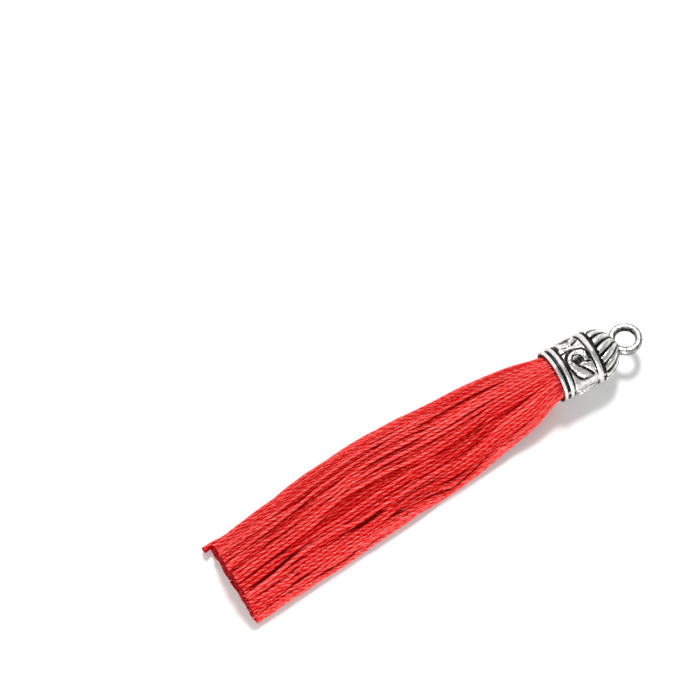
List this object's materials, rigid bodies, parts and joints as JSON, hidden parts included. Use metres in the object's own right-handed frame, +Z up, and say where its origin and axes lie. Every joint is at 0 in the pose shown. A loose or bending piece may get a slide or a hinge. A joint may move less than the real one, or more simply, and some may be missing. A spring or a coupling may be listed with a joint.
{
  "type": "silk tassel",
  "caption": "Thread tassel lying on a surface: a skirt of red twisted thread glued into an antique silver cast cap with a hanging loop.",
  "frame": {"origin": "centre of the bounding box's underside, on the surface the tassel lies on", "axes": "+X along the tassel towards the hanging loop, with the cut ends at -X; +Z up from the surface"},
  "size_m": [0.088, 0.021, 0.0103],
  "materials": {
    "antique_silver": "cast, antiqued: worn bright on the high spots and black in the recesses",
    "red_thread": "lustrous two-ply twisted thread"
  },
  "bodies": {
    "root": {"cap": "antique_silver", "skirt": "red_thread"}
  },
  "joints": []
}
